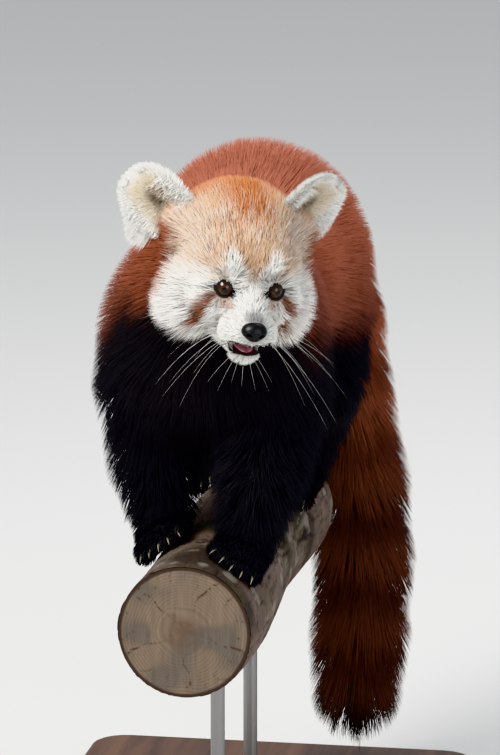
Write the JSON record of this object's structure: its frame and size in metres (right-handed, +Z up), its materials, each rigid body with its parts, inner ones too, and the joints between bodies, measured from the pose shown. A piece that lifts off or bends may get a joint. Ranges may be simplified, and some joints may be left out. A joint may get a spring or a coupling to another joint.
{
  "type": "red panda",
  "caption": "Life-size still model of a red panda walking along a cut length of branch, tail hanging, on a plain board with rods.",
  "frame": {"origin": "centre of the stand base's underside", "axes": "+Z up, the panda faces -Y along the branch, its left side is +X"},
  "size_m": [0.34, 0.5542, 0.6327],
  "materials": {
    "rust_coat": "long soft fur",
    "black_coat": "dense soft fur",
    "face_coat": "short soft fur, pale and tan",
    "white_coat": "soft white fur",
    "nose_leather": "moist fine-pebbled skin",
    "eye_glass": "polished",
    "tongue_skin": "moist",
    "claw_horn": "horn, half polished",
    "whisker": "fine bristle",
    "bark": "weathered bark",
    "base_wood": "satin",
    "rod_steel": "brushed"
  },
  "bodies": {
    "root": {"torso": "rust_coat", "neck": "rust_coat", "tail_root": "rust_coat", "tail": "rust_coat", "head": "face_coat", "ear_left": "white_coat", "ear_right": "white_coat", "eye_left": "eye_glass", "eye_right": "eye_glass", "nose_pad": "nose_leather", "tongue": "tongue_skin", "foreleg_left": "black_coat", "foreleg_right": "black_coat", "forepaw_left": "black_coat", "forepaw_right": "black_coat", "hindleg_left": "black_coat", "hindleg_right": "black_coat", "hindpaw_left": "black_coat", "hindpaw_right": "black_coat", "perch_branch": "bark", "stand_base": "base_wood", "stand_rod_front": "rod_steel", "stand_rod_back": "rod_steel"}
  },
  "joints": []
}
